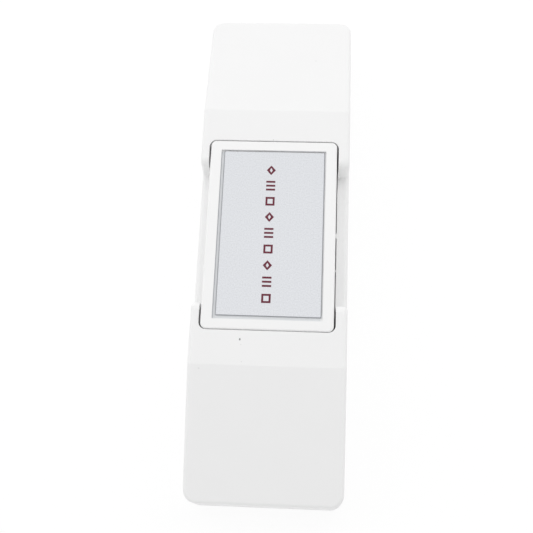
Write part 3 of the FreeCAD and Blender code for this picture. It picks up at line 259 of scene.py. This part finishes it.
board_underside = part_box("circuit_board")[0].z
pin_x = 5.08 * MM
clamp_x = 5.0 * MM
clamp_y = (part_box("wire_clamp_middle")[0].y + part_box("wire_clamp_middle")[1].y) / 2
foil = 0.04 * MM
track_width = 0.7 * MM
detour_x = 3.85 * MM
detour_run = 4.5 * MM
routes = [
    [(-pin_x, 0), (-clamp_x, clamp_y)],
    [(0, 0), (detour_x, -detour_run), (detour_x, clamp_y + detour_run), (0, clamp_y)],
    [(pin_x, 0), (clamp_x, clamp_y)],
]
masked_copper = laminate("solder_mask_on_copper", "#3C8A4A")
tracks = [strip(route, track_width, board_underside - foil, board_underside) for route in routes]
surface_piece("board_tracks", tracks, masked_copper, "housing")


# Solder joints: tin solder that has wetted each pin and its ring of copper under the board. It sets
# with a hollow cone's flank, bright and a little rippled.
def worked_metal(name, code, roughness, mark, mark_depth, change):
    """Metal with the marks of its making: patches with three widths in mm, long in the direction in
    which it was rolled or drawn, which change its colour and its gloss a little."""
    material, tree, place = begin_material(name)
    marks = patches(tree, place, mark, detail=3.0)
    gloss_spread = 0.06
    end_material(
        tree,
        Base_Color=blended(tree, marks, linear(code), darkened(code, change)),
        Metallic=1.0,
        Roughness=between(tree, marks, roughness - gloss_spread, roughness + gloss_spread),
        Normal=relief(tree, marks, mark_depth),
    )
    return material


def turned(profile, middle, sides=24):
    """A round form: each radius and height of the profile is carried round the upright axis."""
    radius, height = np.array(profile, float).T * MM
    angle = np.linspace(0, 2 * math.pi, sides, endpoint=False)
    return np.stack([
        middle[0] + radius[:, None] * np.cos(angle),
        middle[1] + radius[:, None] * np.sin(angle),
        np.broadcast_to(height[:, None], (len(radius), sides)),
    ], axis=-1)


solder_cone = [
    (0, 3.2), (1.05, 3.2), (1.0, 3.1), (0.72, 2.92), (0.56, 2.72), (0.5, 2.5), (0.3, 2.42), (0, 2.4),
]
pin_places = [(-pin_x, 0), (0, 0), (pin_x, 0)]
clamp_places = [(-clamp_x, clamp_y), (0, clamp_y), (clamp_x, clamp_y)]
joints = [turned(solder_cone, place) for place in pin_places + clamp_places]
tin_solder = worked_metal(
    "tin_solder", "#B9BBBD", roughness=0.28, mark=(0.4, 0.4, 0.4), mark_depth=0.003, change=0.1,
)
surface_piece("solder_joints", joints, tin_solder, "housing", smooth_below=60)


# Board screws: two self-tapping screws of steel, cold headed, rolled and then zinc plated. They go
# through the board into the base's posts.
# Bright zinc plate: cool grey with a faint cloudiness.
zinc_plate = worked_metal(
    "bright_zinc_plate", "#C3C6C8", roughness=0.3, mark=(1.2, 1.2, 1.2), mark_depth=0.001, change=0.12,
)
finish_nodes(zinc_plate, "board_screw_upper", "board_screw_lower")


# Snap switch: a case and its lid of black glass-filled PBT, ultrasonically closed round stamped brass
# contacts. The plunger is moulded in red-brown acetal, and the hinged lever is spring strip.
# PBT: black with a fine fibre grain. Acetal: smoother and waxy.
black_pbt = moulded(
    "glass_filled_black_pbt", "#232326",
    ior=1.57, roughness=0.42, flow_change=0.15, grain=0.3, grain_depth=0.004,
)
finish_nodes(black_pbt, "switch_case", "switch_side_cover")
red_acetal = moulded(
    "red_brown_acetal", "#8E2F22",
    ior=1.48, roughness=0.3, flow_change=0.06, grain=0.3, grain_depth=0.002,
)
finish_nodes(red_acetal, "switch_plunger")
# Brass strip: warm yellow, with rolling lines along X. Stainless strip: neutral, with lines along X.
rolled = (4.0, 0.15, 0.15)
brass_strip = worked_metal(
    "rolled_brass_strip", "#D9B46A", roughness=0.3, mark=rolled, mark_depth=0.001, change=0.15,
)
finish_nodes(brass_strip, "switch_blade", "switch_common_pin", "switch_open_pin", "switch_closed_pin")
steel_strip = worked_metal(
    "rolled_stainless_strip", "#B4B4B6", roughness=0.28, mark=rolled, mark_depth=0.001, change=0.12,
)
finish_nodes(steel_strip, "switch_lever")


# Terminal block: a moulded strip of green polyamide with three cages of plated steel, each closed on
# its wire by a screw. Its pins stand in the board.
green_polyamide = moulded(
    "moulded_green_polyamide", "#2C7A4B",
    ior=1.53, roughness=0.38, flow_change=0.08, grain=0.3, grain_depth=0.004,
)
finish_nodes(green_polyamide, "terminal_block")
for side in ("left", "middle", "right"):
    finish_nodes(zinc_plate, f"wire_clamp_{side}", f"clamp_screw_{side}")


# Return springs: two compression springs of round spring-steel wire, coiled cold on a mandrel, with
# closed end turns. They stand on posts of the base and push the cap up.
def wire_along(path, ahead, outward, radius, sides=12):
    """A round wire: at each point of the path a circle stands square to it, spanned by the outward
    direction and by the one square to both."""
    third = np.cross(ahead, outward)
    angle = np.linspace(0, 2 * math.pi, sides, endpoint=False)
    across = outward[:, None] * np.cos(angle)[:, None] + third[:, None] * np.sin(angle)[:, None]
    return close_ends(path[:, None] + across * radius)


def coil(low, high, wire_radius, open_turns, steps_a_turn=32):
    """A spring between two corners of its box. Its middle line is a helix whose height rises by a
    little over one wire in the first and last turn, and evenly in between."""
    middle = (low + high) / 2
    radius = (high[1] - low[1]) / 2 - wire_radius
    closed_rise = 2.25 * wire_radius
    foot = low[2] + wire_radius
    head = high[2] - wire_radius
    turn = np.linspace(0, open_turns + 2, (open_turns + 2) * steps_a_turn + 1)
    height = np.interp(turn, [0, 1, open_turns + 1, open_turns + 2],
                       [foot, foot + closed_rise, head - closed_rise, head])
    angle = turn * 2 * math.pi
    outward = np.column_stack([np.cos(angle), np.sin(angle), np.zeros_like(angle)])
    path = np.column_stack([middle[:2] + outward[:, :2] * radius, height])
    ahead = np.gradient(path, axis=0)
    ahead /= np.linalg.norm(ahead, axis=1, keepdims=True)
    outward -= ahead * np.sum(ahead * outward, axis=1, keepdims=True)
    outward /= np.linalg.norm(outward, axis=1, keepdims=True)
    return wire_along(path, ahead, outward, wire_radius)


# Drawn wire: bright grey with fine draw marks.
drawn_wire = worked_metal(
    "drawn_spring_steel_wire", "#A9A9AC",
    roughness=0.3, mark=(0.5, 0.5, 0.12), mark_depth=0.001, change=0.15,
)
spring_wire_radius = 0.2 * MM
spring_turns = 4
for end in ("upper", "lower"):
    node = f"return_spring_{end}"
    low, high = [np.array(corner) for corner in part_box(node)]
    turns = coil(low, high, spring_wire_radius, spring_turns)
    spring = surface_piece(
        f"coiled_spring_{end}", [turns], drawn_wire, "housing", smooth_below=60,
    )
    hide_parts(node)
    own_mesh(spring)


# Push cap: the large key that the thumb presses, moulded in white ABS, with a frame round a shallow
# recess. Hooks on its skirt hold it in the cover.
# ABS from a polished mould: all but the same white as the cover, with more gloss.
cap_abs = moulded(
    "polished_white_abs", "#F6F6F6",
    ior=abs_ior, roughness=0.36, flow_change=0.015, grain=0.35, grain_depth=0.002,
)
finish_nodes(cap_abs, "push_cap")


# Label plate: a thin strip of aluminium, blasted to a satin and clear anodised, stamped out with
# rounded corners and glued into the cap's recess.
# Satin aluminium: a cool silver, almost even, with a sparkle as fine as the blasting grit.
satin_aluminium = worked_metal(
    "satin_anodised_aluminium", "#F1F3F7",
    roughness=0.42, mark=(0.25, 0.25, 0.25), mark_depth=0.002, change=0.28,
)
finish_nodes(satin_aluminium, "label_plate")


# Adhesive: the glue under the plate, squeezed out as a bead round its edge. The bead's grey and a grey
# line along the left wall of the recess are painted shade: they draw the shadow lines at these edges.
# The glue's film covers the floor that stays open left of the plate and below it. Below the plate, its
# grey is painted shade of the recess floor.
def rounded_outline(low, high, corner, arc_steps=8):
    """The points of a rounded rectangle between two corners, counterclockwise."""
    turn = np.linspace(0, math.pi / 2, arc_steps)
    arc = np.column_stack([np.cos(turn), np.sin(turn)]) * corner
    quarter = np.array([(0, -1), (1, 0)])
    points = []
    for middle in ((high[0] - corner, high[1] - corner), (low[0] + corner, high[1] - corner),
                   (low[0] + corner, low[1] + corner), (high[0] - corner, low[1] + corner)):
        points.append(arc + middle)
        arc = arc @ quarter.T
    return np.concatenate(points)


plate_low, plate_high = [np.array(corner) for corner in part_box("label_plate")]
plate_corner = 0.15 * MM
bead_end = 0.14 * MM
bead_left = 0.22 * MM
bead_right = 0.19 * MM
bead_height = 0.16 * MM
inner = rounded_outline(plate_low, plate_high, plate_corner)
bead_low = plate_low - (bead_left, bead_end, 0)
bead_high = plate_high + (bead_right, bead_end, 0)
outer = rounded_outline(bead_low, bead_high, plate_corner)
bead = []
for ring, level in ((inner, 0.0), (outer, 0.0), (outer, bead_height / 3), (inner, bead_height)):
    closed_ring = np.concatenate([ring, ring[:1]])
    bead.append(np.column_stack([closed_ring, np.full(len(closed_ring), plate_low[2] + level)]))


def flat_patch(left, low, right, high, height):
    """A thin rectangular patch on the floor of the recess."""
    corners = np.array([(left, low), (right, low), (right, high), (left, high)])
    rings = [np.column_stack([corners, np.full(4, plate_low[2] + level)]) for level in (0.0, height)]
    return close_ends(np.stack(rings))


recess_left = -10.55 * MM
recess_low = -17.0 * MM
film_height = 0.03 * MM
# A grey line at the foot of the recess's left wall: painted shade of that corner.
painted_wall_shade_end = recess_left + 0.1 * MM
painted_wall_shade = flat_patch(recess_left, recess_low, painted_wall_shade_end, plate_high[1], 2 * film_height)
# The bead's grey is painted shade: the shadow lines round the plate's edges.
painted_edge_shade = moulded(
    "painted_edge_shade", "#B4B6BA",
    ior=1.48, roughness=0.5, flow_change=0.1, grain=0.4, grain_depth=0.004,
)
surface_piece("painted_shade_bead", [np.stack(bead, axis=1), painted_wall_shade], painted_edge_shade, "cap")
film_left = flat_patch(painted_wall_shade_end, recess_low, bead_low[0], plate_high[1], film_height)
# Below the plate, the film's grey is painted shade of the recess floor. Left of the plate, it is the film's
# own colour.
painted_floor_shade_strip = flat_patch(bead_low[0], recess_low, plate_high[0], bead_low[1], film_height)
film_grey_and_floor_shade = moulded(
    "set_film_and_painted_floor_shade", "#E4E6E8",
    ior=1.48, roughness=0.45, flow_change=0.05, grain=0.4, grain_depth=0.003,
)
surface_piece("film_and_painted_floor_shade", [film_left, painted_floor_shade_strip], film_grey_and_floor_shade, "cap")


# Printed marks: screen-printed red ink on the plate, one column of plain shapes that stand for
# nothing. Each is an even line round a diamond or a square, or three bars.
def prism(outline, low, high):
    """An upright prism on an outline: a ring of its points at the low and the high level."""
    rings = [np.column_stack([outline, np.full(len(outline), level)]) for level in (low, high)]
    return close_ends(np.stack(rings))


def frame_line(corners, line, low, high):
    """A closed line of even width round regular corners: a square section carried round, so that the
    grid's columns go round the section and its rows go round the outline and meet again."""
    corners = np.array(corners + corners[:1], float)
    reach = np.linalg.norm(corners, axis=1, keepdims=True)
    side = np.linalg.norm(corners[1] - corners[0])
    inner = 1 - line / np.sqrt(reach ** 2 - (side / 2) ** 2)
    edges = [(1.0, low), (1.0, high), (inner, high), (inner, low)]
    return np.stack([np.column_stack([corners * share, np.full(len(corners), level)])
                     for share, level in edges], axis=1)


ink_low = plate_high[2] - 0.01 * MM
ink_high = plate_high[2] + 0.02 * MM
ink_line = 0.38 * MM
half_width = 0.88 * MM
half_height = 1.0 * MM
column_x = -0.63 * MM
first_y = 12.89 * MM
mark_pitch = 3.22 * MM
mark_count = 9
bar_rise = half_height - ink_line / 2
diamond = [(0, half_height), (half_width, 0), (0, -half_height), (-half_width, 0)]
square = [
    (half_width, half_width), (half_width, -half_width),
    (-half_width, -half_width), (-half_width, half_width),
]
bar = np.array([
    (-half_width, -ink_line / 2), (half_width, -ink_line / 2),
    (half_width, ink_line / 2), (-half_width, ink_line / 2),
])
kinds = [
    [frame_line(diamond, ink_line, ink_low, ink_high)],
    [prism(bar + (0, side * bar_rise), ink_low, ink_high) for side in (-1, 0, 1)],
    [frame_line(square, ink_line, ink_low, ink_high)],
]
marks = []
for number in range(mark_count):
    place = (column_x, first_y - number * mark_pitch, 0)
    marks += [shape + place for shape in kinds[number % len(kinds)]]
red_ink = moulded(
    "red_screen_ink", "#62142B",
    ior=1.5, roughness=0.4, flow_change=0.1, grain=0.3, grain_depth=0.002,
)
surface_piece("printed_marks", marks, red_ink, "cap")


# Front cover: the shell, moulded in white ABS, flat in the middle and sloping to both ends, with two
# scoops for the fingers. It snaps over the base.
# The same matt ABS as the base, with the few dirt marks that the photograph shows.
flecks = [
    ((-5.11, -20.80, 17.0), 0.2, 0.28, 0.85),
    ((-4.86, -21.77, 17.0), 0.12, 0.12, 0.2),
    ((-4.60, -24.94, 17.0), 0.12, 0.12, 0.2),
    ((-0.47, 19.23, 17.0), 0.2, 0.12, 0.35),
    ((-12.36, -26.36, 16.8), 0.2, 0.2, 0.12),
    ((7.47, 38.98, 13.3), 0.2, 0.2, 0.12),
]
cover_abs = moulded("spark_eroded_white_abs", housing_code, **matt_face, flecks=flecks)
finish_nodes(cover_abs, "front_cover")


# Moulding flash: a thin ragged fin of ABS on the inner edge of the right cheek, where the mould's
# halves did not quite close. It stands in the gap beside the cap and touches only the cover.
cheek_x = 12.41 * MM
flash_top = 11.98 * MM
flash_thickness = 0.12 * MM
root_depth = 0.2 * MM
longest_reach = 0.27 * MM
# How far the fin reaches from the cheek at places along it, in mm.
reach_at = np.array([
    (-13.0, 0.0), (-12.7, 0.01), (-6.0, 0.01), (-5.85, 0.12), (-5.6, 0.1), (-5.45, 0.0),
    (-3.1, 0.0), (-2.95, 0.1), (-2.8, 0.0), (0.8, 0.0), (1.05, 0.18), (1.4, 0.26),
    (1.7, 0.2), (1.95, 0.01), (7.0, 0.02), (7.2, 0.04), (10.7, 0.04), (11.0, 0.0),
]) * MM
# Two waves, in radians a metre, fray its edge by up to a quarter.
fine_wave = 9000
coarse_wave = 3700
fray = 0.25
fin_steps = 240
along = np.linspace(reach_at[0, 0], reach_at[-1, 0], fin_steps)
ragged = 1 + fray * np.sin(along * fine_wave) * np.sin(along * coarse_wave + 1)
tip = cheek_x - np.minimum(np.interp(along, *reach_at.T) * ragged, longest_reach)
root = np.full_like(along, cheek_x + root_depth)
fin = []
for across, depth in ((root, 0), (tip, 1 / 3), (tip, 2 / 3), (root, 1)):
    level = np.full_like(along, flash_top - depth * flash_thickness)
    fin.append(np.column_stack([across, along, level]))
rings = close_ends(np.stack(fin, axis=1))
surface_piece("moulding_flash", [rings], cover_abs, "housing")


# Floor: a pale table under the object, which isn't part of it. It is white to the camera and in
# reflections, and keeps the object's soft shadow, which is faint under this even light.
def seen_directly(tree):
    """1 where a ray comes from the camera, or from a shiny or clear surface, and else 0."""
    rays = add_node(tree, "ShaderNodeLightPath").outputs
    shiny = add_node(tree, "ShaderNodeMath", {0: rays["Is Camera Ray"], 1: rays["Is Glossy Ray"]},
                     operation="MAXIMUM").outputs[0]
    return add_node(tree, "ShaderNodeMath", {0: shiny, 1: rays["Is Transmission Ray"]},
                    operation="MAXIMUM").outputs[0]


floor_half = 2.0
floor_level = -0.1 * MM
floor_corners = [
    (-floor_half, -floor_half, floor_level), (floor_half, -floor_half, floor_level),
    (floor_half, floor_half, floor_level), (-floor_half, floor_half, floor_level),
]
floor_mesh = bpy.data.meshes.new("floor")
floor_mesh.from_pydata(floor_corners, [], [(0, 1, 2, 3)])
floor = bpy.data.objects.new("floor", floor_mesh)
bpy.context.scene.collection.objects.link(floor)
paper, tree, place = begin_material("white_paper")
# What is seen is mostly glow, and the rest is the lit sheet, which holds the shadow. The glow is a
# little over 1, so that the two together come to white.
glow_strength = 1.03
most_glow = 0.86
sheet = add_node(tree, "ShaderNodeBsdfDiffuse", {"Color": linear("#F4F4F4")})
glow = add_node(tree, "ShaderNodeEmission", {"Strength": glow_strength})
glow_share = between(tree, seen_directly(tree), 0.0, most_glow)
both = add_node(tree, "ShaderNodeMixShader", {0: glow_share, 1: sheet.outputs[0], 2: glow.outputs[0]})
add_node(tree, "ShaderNodeOutputMaterial", {"Surface": both.outputs[0]})
floor_mesh.materials.append(paper)


# Light: a pale room, brightest at the near wall, less bright at the far one and dim above, and one
# long soft light over the object's far end and a little to the left.
world = bpy.data.worlds.new("pale_room")
bpy.context.scene.world = world
world.use_nodes = True
world.node_tree.nodes.clear()
near_wall = 1.45
far_wall = 0.92
ceiling_light = 0.275
toward = add_node(world.node_tree, "ShaderNodeTexCoord").outputs["Generated"]
ways = add_node(world.node_tree, "ShaderNodeSeparateXYZ", {"Vector": toward}).outputs
wall_light = add_node(world.node_tree, "ShaderNodeMapRange", {
    "Value": ways["Y"], "From Min": -1.0, "From Max": 1.0, "To Min": near_wall, "To Max": far_wall,
}).outputs[0]
room_light = between(world.node_tree, ways["Z"], wall_light, ceiling_light)
strength = between(world.node_tree, seen_directly(world.node_tree), room_light, 1.0)
room = add_node(world.node_tree, "ShaderNodeBackground", {"Color": linear("#FFFFFF"), "Strength": strength})
add_node(world.node_tree, "ShaderNodeOutputWorld", {"Surface": room.outputs[0]})

lamp_length = 1.5
lamp_depth = 0.6
lamp_distance = 0.6
lamp_radiance = 1.156
lamp_direction = np.array((-0.08, 0.50, 0.83))
lamp_direction /= np.linalg.norm(lamp_direction)
lamp_data = bpy.data.lights.new("soft_light", "AREA")
lamp_data.shape = "RECTANGLE"
lamp_data.size = lamp_length
lamp_data.size_y = lamp_depth
lamp_data.energy = math.pi * lamp_radiance * lamp_data.size * lamp_data.size_y
lamp = bpy.data.objects.new("soft_light", lamp_data)
lamp.location = lamp_direction * lamp_distance
lamp.rotation_euler = lamp.location.to_track_quat("Z", "Y").to_euler()
lamp.visible_glossy = False
bpy.context.scene.collection.objects.link(lamp)


# Camera: where the photograph was taken from, above the object's near end. Its place, turn and lens
# come from fitting the object's outline and creases to the photograph.
camera_data = bpy.data.cameras.new("camera")
camera_data.sensor_width = 36.0
camera_data.lens = 56.92
camera_data.clip_start = 0.01
camera = bpy.data.objects.new("camera", camera_data)
camera.location = (0.007514, -0.051581, 0.168674)
camera.rotation_euler = [math.radians(turn) for turn in (16.5592, 2.4306, 2.3427)]
bpy.context.scene.collection.objects.link(camera)
bpy.context.scene.camera = camera
bpy.context.scene.view_settings.view_transform = "Standard"
